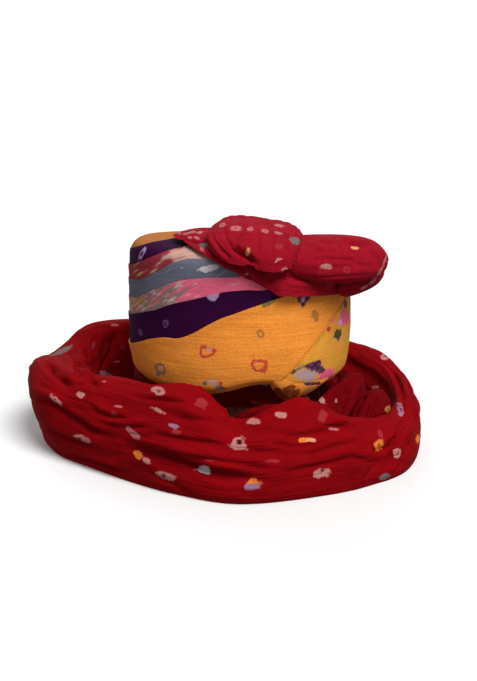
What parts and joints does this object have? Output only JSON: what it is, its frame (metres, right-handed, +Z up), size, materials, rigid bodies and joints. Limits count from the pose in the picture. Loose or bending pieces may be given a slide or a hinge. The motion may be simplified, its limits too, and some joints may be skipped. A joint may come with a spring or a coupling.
{
  "type": "tied turban pagri",
  "caption": "Hollow wound cotton turban with slanting coloured wraps, a tie-dyed bundle folded over its top and a long gathered tail looped round its base.",
  "frame": {"origin": "middle of the footprint, on the surface that the tail lies on", "axes": "+Z up through the crown, -Y towards the lifted front of the rim, +X towards the overhanging end of the bundle"},
  "size_m": [0.4018, 0.3462, 0.2349],
  "materials": {
    "wound_yellow": "matt cotton mull, orange yellow with small tie-dyed rings",
    "wound_gold": "matt cotton mull, golden yellow with pink, violet and green dye",
    "wound_purple": "matt cotton mull, dark violet",
    "wound_pink": "matt cotton mull, pink mixed with white and grey dye",
    "wound_grey": "matt cotton mull, slate grey",
    "tail_red": "thin gathered cotton mull, deep red with pale tie-dyed dots"
  },
  "bodies": {
    "root": {"crown_base": "wound_yellow", "wrap_front": "wound_yellow", "wrap_side": "wound_gold", "wrap_purple_low": "wound_purple", "wrap_pink_low": "wound_pink", "wrap_grey": "wound_grey", "wrap_pink_high": "wound_pink", "wrap_purple_high": "wound_purple", "wrap_top": "wound_yellow", "rim_tuck": "wound_yellow", "bundle_under": "tail_red", "bundle_flap": "tail_red", "bundle_mid": "tail_red", "bundle_end": "tail_red", "tail_loop": "tail_red", "tail_turn": "tail_red", "tail_fold": "tail_red"}
  },
  "joints": []
}
